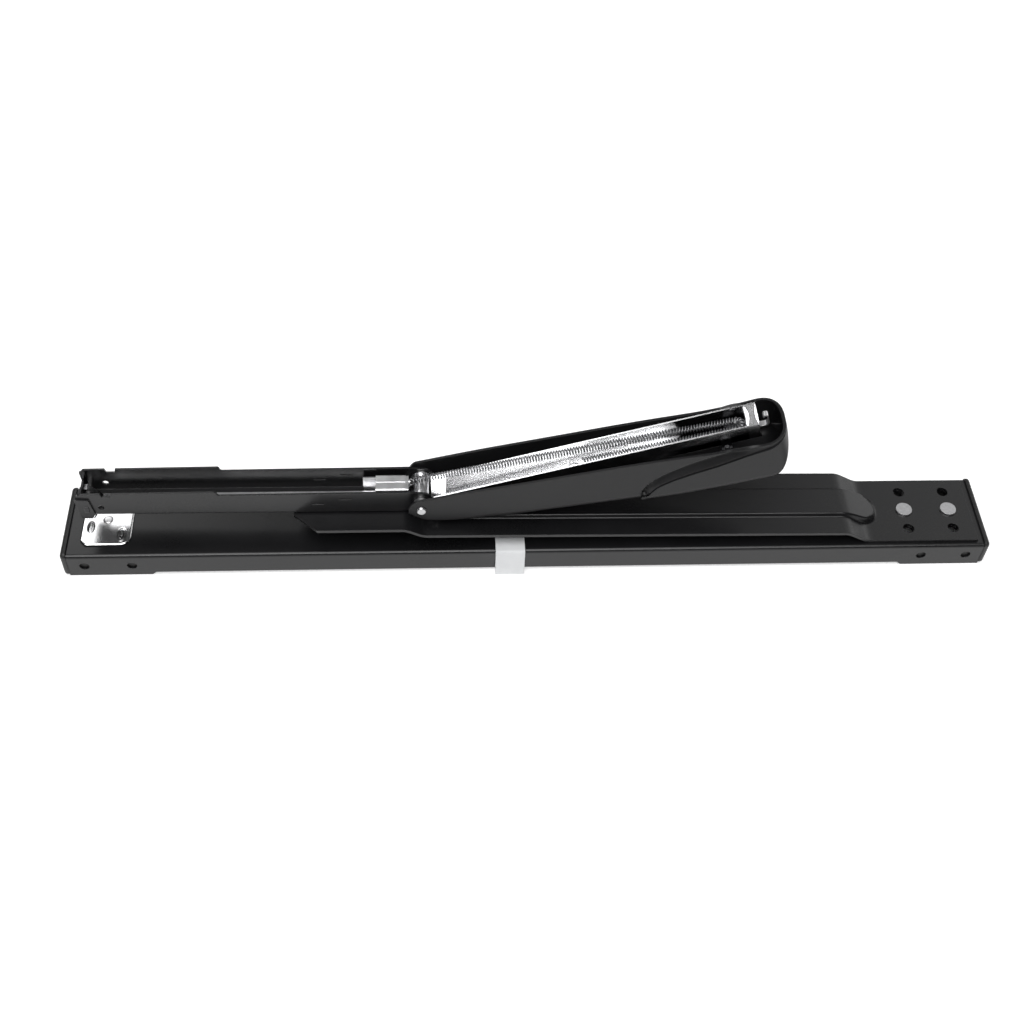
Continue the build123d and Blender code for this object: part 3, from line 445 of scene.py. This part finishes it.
def tube(path, radius):
    """Points and faces of a round wire along a path of millimetre points."""
    path = np.asarray(path, float)
    tangents = np.gradient(path, axis=0)
    tangents /= np.linalg.norm(tangents, axis=1)[:, None]
    normal = np.cross(tangents[0], TUBE_START_NORMAL)
    points = []
    for place, tangent in zip(path, tangents):
        normal = normal - tangent * np.dot(normal, tangent)
        normal /= np.linalg.norm(normal)
        other = np.cross(tangent, normal)
        for step in range(TUBE_SIDES):
            turn = 2 * math.pi * step / TUBE_SIDES
            points.append(place + radius * (math.cos(turn) * normal + math.sin(turn) * other))
    faces = []
    for first in range(0, (len(path) - 1) * TUBE_SIDES, TUBE_SIDES):
        for step in range(TUBE_SIDES):
            here, after = first + step, first + (step + 1) % TUBE_SIDES
            faces.append((here, after, after + TUBE_SIDES, here + TUBE_SIDES))
    last = (len(path) - 1) * TUBE_SIDES
    faces.append(tuple(reversed(range(TUBE_SIDES))))
    faces.append(tuple(last + step for step in range(TUBE_SIDES)))
    return points, faces


# ---------------------------------------------------------------- long arm
# Heights of the sheet's top face and of its rib along X, in millimetres.
ARM_LINE = [(-106, 26.4), (-56.0, 26.4), (-48.4, 22.2), (142.0, 20.3), (151.8, 14.55), (203, 14.55)]
RIB_LINE = [(-106, 26.4), (-56.0, 26.4), (-48.4, 22.2), (-44, 22.2), (-39, 23.6),
            (142, 21.9), (146, 20.4), (158, 15.35), (203, 15.35)]
BEND_SOFTNESS = 1.9
RIB_EDGE = (7.0, 8.5)         # the rib's side slopes down between these places off the middle
RIB_END = (150.5, 1.1)        # behind this place the rib narrows at this rate to a rounded end
ARM_HALF = 17.7
TONGUE_POINT = [(-105.2, 8.6), (-94.6, ARM_HALF), (203, ARM_HALF)]
ARM_SHEET = 1.5
ARM_HOLES = [(x, y) for x in (171.4, 192.0) for y in (-10.7, 10.7)]
ARM_HOLE_RADIUS = 2.5


def long_arm():
    """The arm's pressed sheet: rounded joggles, a rib along the raised part, a pointed tongue."""
    # Stations crowd together at the joggles, and places across at the rib's sides.
    stations = np.concatenate([
        np.linspace(-105.2, -94.6, 12), np.linspace(-92, -62, 12), np.linspace(-60, -36, 34),
        np.linspace(-32, 132, 42), np.linspace(134, 162, 44), np.linspace(165, 202, 20),
    ])
    across = np.concatenate([
        np.linspace(0, 6.6, 6), np.linspace(7.0, 8.8, 8), np.linspace(9.4, 17.2, 9), [ARM_HALF]])
    across = np.concatenate([-across[:0:-1], across])
    arm = polyline(ARM_LINE, stations, BEND_SOFTNESS)
    rib = np.maximum(polyline(RIB_LINE, stations, BEND_SOFTNESS), arm)
    points = []
    for x, low, high in zip(stations, arm, rib):
        narrow = polyline(TONGUE_POINT, x) / ARM_HALF
        for y in across:
            reach = math.hypot(y, RIB_END[1] * max(0.0, x - RIB_END[0]))
            rise = 1 - smoothstep(reach, *RIB_EDGE)
            points.append((x, y * narrow, low + (high - low) * rise))
    piece = add_piece("long_arm_sheet", points, grid_faces(len(stations), len(across)), "black_enamel")
    face_outwards(piece, (0, 0, 1))
    thicken(piece, ARM_SHEET, 50)
    drill(piece, ARM_HOLES, ARM_HOLE_RADIUS, 10, 18)
    piece.data.set_sharp_from_angle(angle=math.radians(50))
    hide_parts("long_arm")
    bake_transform(piece)


# ---------------------------------------------------------------- handle shell and pad
# All in millimetres along the lever from the hinge, and off the line of the lever's edges.
SHELL_END = 160.3
END_ROUND = 11.0              # stretch over which the free end closes
END_POWER = 2.4               # 2 would close it as a circle, more makes it squarer
STRAIGHT_END = SHELL_END - END_ROUND
CHEEK_TIP = -5.9
CHEEK_END = 4.6               # from here towards the free end the shell has a floor
SHELL_WALL = 1.2
CORNER = 4.0
RIM_LINE = [
    (-6, 5.9), (16, 4.75), (24, 4.2), (56, 1.55), (88, -0.95), (104, -2.5), (128, -5.3), (138, -5.9),
    (162, -6.2)]
FLOOR_LINE = [
    (-6, 0), (-5, -1.7), (-4, -3.1), (-2, -5.3), (0, -7.2), (4, -8.8), (8, -10.5), (14, -12.7),
    (18, -14.0), (24, -15.6), (30, -16.9), (40, -18.6), (60, -21.1), (90, -24.9), (113, -27.2),
    (130, -27.7), (162, -27.0)]
SIDE_LINE = [
    (-6, 12.0), (12, 12.0), (36, 12.35), (92, 12.55), (122, 12.8), (136, 13.2), (146, 13.7), (162, 13.8)]
PAD_LINE = [
    (93, -26.5), (94.6, -24.4), (98, -20.4), (101.9, -17.9), (108.7, -15.9), (118.5, -14.2),
    (128, -12.9), (134.6, -11.4), (141, -9.8), (148.7, -8.5), (162, -7.4)]
HOLLOW_LINE = [
    (93, -20.6), (98, -15.2), (104, -12.2), (110, -10.2), (118, -8.1), (126, -6.7), (134, -5.9),
    (162, -5.9)]
HOLLOW_DEPTH = 2.4
HOLLOW_START = (93.4, 95.4)   # the hollow sinks in along the first stretch and runs out in the second
HOLLOW_END = (132, 150)
PAD_START = 93.4
PAD_PROUD = 1.0
PAD_WALL = 1.5
PAD_BELOW_RIM = 0.9
SIDE_ROWS, CORNER_ROWS, FLOOR_ROWS = 44, 7, 8


def rim_height(along):
    """The shell's open edge: round at the hinge, then a straight line towards the free end."""
    nose = (1 - (min(along, 0.0) / CHEEK_TIP) ** 2) ** 0.75 if along > CHEEK_TIP else 0.0
    return nose * float(polyline(RIM_LINE, along, 5.0 if along > 6 else 0.0))


def closing(along):
    """1 along the handle, falling to nearly 0 where its rounded free end closes."""
    share = max(0.0, (along - STRAIGHT_END) / END_ROUND)
    return (1 - min(share, 0.995) ** END_POWER) ** (1 / END_POWER)


def hollow_depth(along, height):
    """How far the curved hollow above the pad sinks into the shell's side."""
    low = float(polyline(PAD_LINE, along, 1.5))
    high = float(polyline(HOLLOW_LINE, along, 1.5))
    place = (height - low) / (high - low)
    if not 0 < place < 1 or along < HOLLOW_START[0]:
        return 0.0
    fade = float(smoothstep(along, *HOLLOW_START)) * (1 - float(smoothstep(along, *HOLLOW_END)))
    return HOLLOW_DEPTH * fade * math.sin(math.pi * place ** 1.6)


def half_section(along, proud, top):
    """(y, height) points from the open edge down one side and along the floor to the middle."""
    rim = rim_height(along)
    bottom = float(polyline(FLOOR_LINE, along, 0.8 if along < 10 else 4.0)) - proud
    bottom = rim + (bottom - rim) * closing(along)
    half = (float(polyline(SIDE_LINE, along, 6.0)) + 0.8 * proud) * closing(along)
    corner = 0.4 + CORNER * float(smoothstep(along, 2, 30))
    corner = min(corner, 0.45 * (rim - bottom), 0.9 * half)
    points = []
    for height in np.linspace(max(top, bottom + corner), bottom + corner, SIDE_ROWS):
        sunk = 0.0 if proud else hollow_depth(along, height)
        points.append((half - sunk, height))
    for step in range(1, CORNER_ROWS + 1):
        turn = math.pi / 2 * step / CORNER_ROWS
        points.append((half - corner + corner * math.cos(turn), bottom + corner - corner * math.sin(turn)))
    for step in range(1, FLOOR_ROWS + 1):
        points.append(((half - corner) * (1 - step / FLOOR_ROWS), bottom))
    return points


def hull(name, stations, proud, top_line, keep, wall):
    """A shell lofted through U sections along the handle, closed at its free end."""
    columns = 2 * (SIDE_ROWS + CORNER_ROWS + FLOOR_ROWS) - 1
    points = []
    for along in stations:
        half = half_section(along, proud, top_line(along))
        section = [(-y, height) for y, height in half] + list(reversed(half[:-1]))
        points.extend(at_lever(along, height, y) for y, height in section)
    faces = grid_faces(len(stations), columns, keep)
    # The last section is closed by quads from side to side, with a triangle at the middle.
    last = (len(stations) - 1) * columns
    for step in range(columns // 2):
        near, far = last + step, last + columns - 1 - step
        faces.append((near, near + 1, far - 1, far) if near + 1 != far - 1 else (near, near + 1, far))
    piece = add_piece(name, points, faces, "black_shell", "handle")
    face_outwards(piece, (0, -1, 0))
    thicken(piece, wall, 40)
    return piece


# Stations that crowd together where the free end closes, and stop just short of it.
END_STATIONS = STRAIGHT_END + (END_ROUND - 0.05) * np.sin(np.linspace(0, math.pi / 2, 22)[1:])


def handle():
    """The shell, open at its hinge cheeks, and the press pad that wraps its free end."""
    floor_columns = range(SIDE_ROWS - 1, SIDE_ROWS + 2 * (CORNER_ROWS + FLOOR_ROWS) - 1)
    nose = CHEEK_TIP * np.cos(np.linspace(0.02, math.pi / 2, 12))
    stations = np.concatenate([
        nose, np.linspace(0.4, CHEEK_END, 6), np.linspace(5.2, 14, 10), np.linspace(16, 90, 38),
        np.linspace(91, STRAIGHT_END, 60), END_STATIONS,
    ])

    def has_floor(row, column):
        return stations[row] >= CHEEK_END - 0.01 or column not in floor_columns

    shell = hull("handle_shell_moulding", stations, 0.0, rim_height, has_floor, SHELL_WALL)
    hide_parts("handle_shell")

    def pad_top(along):
        line = float(polyline(PAD_LINE, along, 1.5 if along > 97 else 0.4))
        rim = rim_height(along)
        return min(rim - PAD_BELOW_RIM, rim + (line - rim) * closing(along))

    stations = np.concatenate([np.linspace(PAD_START, STRAIGHT_END, 64), END_STATIONS])
    pad = hull("press_pad_moulding", stations, PAD_PROUD, pad_top, lambda row, column: True, PAD_WALL)
    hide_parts("press_pad")


# ---------------------------------------------------------------- pusher spring
COIL_RADIUS = 1.5
COIL_WIRE = 0.31
COIL_PITCH = 1.25
COIL_STEPS = 12               # points on each turn of the coil
POST_ALONG, POST_HEIGHT, POST_Y = 139.4, -3.0, -1.35     # of the post that the spring turns round
TURN_RADIUS = 2.45
OUT_Y, BACK_Y = POST_Y + TURN_RADIUS, POST_Y - TURN_RADIUS
OUT_START, OUT_LEVEL, OUT_HEIGHT = -1.6, 2.0, 5.3        # level past the hinge, then down to the post
BACK_END, BACK_RISE = 73.0, 1.8 / 68                     # the rise is per millimetre back from the post
LOOP_SHARE = 0.9


def spring_centre():
    """The spring's centre line: out to the post, round it and back along the near wall."""
    fall = (OUT_HEIGHT - POST_HEIGHT) / (POST_ALONG - OUT_LEVEL)
    out = [at_lever(along, OUT_HEIGHT - fall * max(0.0, along - OUT_LEVEL), OUT_Y)
           for along in np.linspace(OUT_START, POST_ALONG, 500)]
    around = [at_lever(POST_ALONG + TURN_RADIUS * math.cos(turn), POST_HEIGHT,
                       POST_Y + TURN_RADIUS * math.sin(turn))
              for turn in np.linspace(math.pi / 2, -math.pi / 2, 40)[1:-1]]
    back = [at_lever(along, POST_HEIGHT + BACK_RISE * (POST_ALONG - along), BACK_Y)
            for along in np.linspace(POST_ALONG, BACK_END, 260)]
    return np.array(out + around + back)


def coiled(centre):
    """The coil wound about a centre line."""
    gaps = np.linalg.norm(np.diff(centre, axis=0), axis=1)
    run = np.concatenate([[0], np.cumsum(gaps)])
    count = int(run[-1] / COIL_PITCH * COIL_STEPS)
    places = np.linspace(0, run[-1], count)
    line = np.stack([np.interp(places, run, centre[:, axis]) for axis in range(3)], axis=1)
    tangents = np.gradient(line, axis=0)
    tangents /= np.linalg.norm(tangents, axis=1)[:, None]
    up = np.array(OFF)
    side = np.cross(tangents, up)
    side /= np.linalg.norm(side, axis=1)[:, None]
    lift = np.cross(side, tangents)
    turn = (2 * math.pi * places / COIL_PITCH)[:, None]
    return line + COIL_RADIUS * (np.cos(turn) * side + np.sin(turn) * lift)


def loop(centre, axis, radius):
    """An open loop of wire round an axis."""
    axis = Vector(axis).normalized()
    first = axis.orthogonal().normalized()
    second = axis.cross(first)
    turns = np.linspace(0, 2 * math.pi * LOOP_SHARE, 20)
    return [centre + radius * (math.cos(turn) * first + math.sin(turn) * second) for turn in turns]


# The bent end that catches the lever's near wall: along, height and Y.
TAIL = [(73, -1.2, -5.3), (71, -0.9, -5.0), (69, -0.6, -4.2), (67.4, -0.5, -4.4), (66.6, -0.5, -5.6),
        (67, -0.5, -5.9)]


def pusher_spring():
    """The long coil, three loops that link it to the pusher's hook, and its bent end."""
    wires = [
        coiled(spring_centre()),
        loop(at_lever(-3.0, 5.0, OUT_Y), ALONG.cross(OFF) + 0.5 * OFF, 1.35),
        loop(at_lever(-5.0, 4.4, OUT_Y - 1.0), OFF, 1.0),
        loop(at_lever(-5.2, 4.0, OUT_Y - 3.2), OFF + ALONG, 1.0),
        [at_lever(*place) for place in TAIL],
    ]
    points, faces = [], []
    for wire in wires:
        more, more_faces = tube(wire, COIL_WIRE)
        faces.extend(tuple(len(points) + corner for corner in face) for face in more_faces)
        points.extend(more)
    piece = add_piece("pusher_spring_coils", points, faces, "spring_steel", "handle")
    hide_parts("pusher_spring")


# ---------------------------------------------------------------- anvil plate
CHAMFER = 2.5                 # of the two corners at the plate's left end
END_RADIUS = 4.5              # of the two corners at its right end
GROOVE_PLACE, GROOVE_HALF, GROOVE_DEPTH = (-6.9, 4.2), (1.75, 3.6), 0.5
RIDGE_REACH, RIDGE_DEPTH = 0.35, 0.25   # shares of a groove's half width and depth, at its middle
BOSS_PLACE, BOSS_HALF, BOSS_HEIGHT = (6.9, 8.6), (2.1, 4.2), 0.3
DIP_REACH, DIP_SLOPE = 0.35, 1.2
EDGE_ROLL, EDGE_DROP = 0.6, 0.45


def oval_reach(x, y, place, half):
    """How far (x, y) is from an oval's middle, squared: 1 on its outline."""
    return ((x - place[0]) / half[0]) ** 2 + ((y - place[1]) / half[1]) ** 2


def pressed_height(x, y):
    """Height of the grooves and bosses, whose places mirror in the plate's middle line."""
    height = 0.0
    y = abs(y)
    groove = oval_reach(x, y, GROOVE_PLACE, GROOVE_HALF)
    if groove < 1:
        ridge = min(1.0, abs(x - GROOVE_PLACE[0]) / GROOVE_HALF[0] / RIDGE_REACH + RIDGE_DEPTH)
        height -= GROOVE_DEPTH * (1 - groove) * ridge
    boss = oval_reach(x, y, BOSS_PLACE, BOSS_HALF)
    if boss < 1:
        height += BOSS_HEIGHT * math.sin(math.pi * boss ** 0.5) - DIP_SLOPE * max(0.0, DIP_REACH - boss)
    return height


def anvil_plate():
    """Chromed plate with lens grooves that close a staple and raised ovals that splay one."""
    low, high = (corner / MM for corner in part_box("anvil_plate"))
    middle = (low + high) / 2
    half_x, half_y = (high.x - low.x) / 2, (high.y - low.y) / 2
    stations = np.linspace(-half_x, half_x, 74)
    shares = np.linspace(-1, 1, 92)
    points = []
    for x in stations:
        from_left, from_right = x + half_x, half_x - x
        cut = max(0.0, CHAMFER - from_left)
        if from_right < END_RADIUS:
            cut = END_RADIUS - math.sqrt(END_RADIUS ** 2 - (END_RADIUS - from_right) ** 2)
        for share in shares:
            y = share * (half_y - cut)
            # The sheet's top edges roll over.
            edge = min(from_left, from_right, (half_y - cut) - abs(y))
            roll = EDGE_DROP * max(0.0, 1 - edge / EDGE_ROLL) ** 2
            points.append((middle.x + x, y, high.z + pressed_height(x, y) - roll))
    faces = grid_faces(len(stations), len(shares))
    piece = add_piece("anvil_plate_pressed", points, faces, "bright_chrome", "anvil")
    face_outwards(piece, (0, 0, 1))
    thicken(piece, high.z - low.z - 0.1, 60)
    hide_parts("anvil_plate")


long_arm()
handle()
pusher_spring()
anvil_plate()


# ---------------------------------------------------------------- stage, light and camera
FLOOR_GLOW = 0.42
FLOOR_HALF = 6.0
GLOW_INSET = 5.0 * MM         # in from the object's widest place to just inside the base's walls


def floor():
    """A pale table that glows a little beside the base, and not under it, where holes would show it."""
    mesh = bpy.data.meshes.new("floor")
    corners = [(x * FLOOR_HALF, y * FLOOR_HALF, 0) for x, y in ((-1, -1), (1, -1), (1, 1), (-1, 1))]
    mesh.from_pydata(corners, [], [(0, 1, 2, 3)])
    plane = bpy.data.objects.new("floor", mesh)
    plane.location.z = cad_low.z - 0.02 * MM
    bpy.context.scene.collection.objects.link(plane)
    f = Finish("floor")
    colour = f.mix(f.ramp(f.noise(3, 2), 0.3, 0.7), (0.82, 0.82, 0.82), (0.86, 0.86, 0.86))
    f.shader.inputs["Emission Color"].default_value = (1, 1, 1, 1)
    parts = f.node("ShaderNodeSeparateXYZ")
    f.link(f.place, parts.inputs["Vector"])
    wall = cad_high.y - GLOW_INSET
    beside = f.ramp(f.calc("ABSOLUTE", parts.outputs["Y"], 0.0), wall - 0.5 * MM, wall + 0.5 * MM)
    beyond = f.ramp(f.calc("ABSOLUTE", parts.outputs["X"], 0.0), cad_high.x - MM, cad_high.x)
    glow = f.ramp(f.calc("MAXIMUM", beside, beyond), 0, 1, 0, FLOOR_GLOW)
    f.link(glow, f.shader.inputs["Emission Strength"])
    rough = f.ramp(f.noise(40, 2), 0, 1, 0.55, 0.65)
    mesh.materials.append(f.finish(colour, rough, f.bump(f.noise(400, 2), 0.02, 0.05 * MM)))


def studio_sky():
    """Soft grey all round, brighter overhead, seen mostly in the reflections."""
    world = bpy.data.worlds.new("studio")
    world.use_nodes = True
    tree = world.node_tree
    place = tree.nodes.new("ShaderNodeTexCoord")
    parts = tree.nodes.new("ShaderNodeSeparateXYZ")
    level = tree.nodes.new("ShaderNodeMapRange")
    level.interpolation_type = "SMOOTHSTEP"
    level.inputs["From Min"].default_value = 0.72
    level.inputs["From Max"].default_value = 0.97
    level.inputs["To Min"].default_value = 0.10
    level.inputs["To Max"].default_value = 0.75
    tree.links.new(place.outputs["Generated"], parts.inputs["Vector"])
    tree.links.new(parts.outputs["Z"], level.inputs["Value"])
    tree.links.new(level.outputs["Result"], tree.nodes["Background"].inputs["Strength"])
    bpy.context.scene.world = world


def key_light():
    """One broad soft sun, nearly overhead."""
    data = bpy.data.lights.new("key", "SUN")
    data.energy = 2.1
    data.angle = math.radians(50)
    light = bpy.data.objects.new("key", data)
    light.rotation_euler = (math.radians(15), math.radians(-8), 0)
    bpy.context.scene.collection.objects.link(light)


PANEL_TARGET = Vector((0, 0, 0.03))


def panel(name, place, size, radiance):
    """A lit rectangle that the bright metal mirrors; radiance is its brightness."""
    data = bpy.data.lights.new(name, "AREA")
    data.shape = "RECTANGLE"
    data.size, data.size_y = size
    data.energy = radiance * math.pi * size[0] * size[1]
    light = bpy.data.objects.new(name, data)
    light.location = place
    light.rotation_euler = (PANEL_TARGET - Vector(place)).to_track_quat("-Z", "Y").to_euler()
    bpy.context.scene.collection.objects.link(light)


floor()
studio_sky()
key_light()
panel("panel_lever", (-0.36, 0.62, 0.585), (0.50, 0.24), 2.4)
panel("panel_left", (-0.60, 0.62, 0.80), (0.34, 0.40), 0.6)
panel("panel_camera", (0.0, -0.80, 1.05), (1.3, 0.25), 5.0)
panel("panel_right", (0.62, 0.62, 0.78), (0.55, 0.50), 0.9)
panel("panel_low_right", (0.95, 0.60, 0.35), (0.50, 0.50), 1.3)

# The camera looks down on the long side, turned a little to the right and rolled a little.
CAMERA_PLACE = Vector((-45.6, -407.4, 511.6)) * MM
CAMERA_DOWN = math.radians(50.445)
CAMERA_TURN = math.radians(-5.165)
CAMERA_ROLL = math.radians(3.334)
CAMERA_LENS = 50.07


def camera():
    data = bpy.data.cameras.new("camera")
    data.lens = CAMERA_LENS
    data.sensor_width = 36.0
    data.clip_start, data.clip_end = 0.01, 20
    made = bpy.data.objects.new("camera", data)
    turn = Matrix.Rotation(CAMERA_TURN, 3, "Z")
    tilt = Matrix.Rotation(math.pi / 2 - CAMERA_DOWN, 3, "X")
    roll = Matrix.Rotation(CAMERA_ROLL, 3, "Z")
    made.matrix_world = Matrix.Translation(CAMERA_PLACE) @ (turn @ tilt @ roll).to_4x4()
    bpy.context.scene.collection.objects.link(made)
    bpy.context.scene.camera = made


camera()
bpy.context.scene.view_settings.view_transform = "Standard"
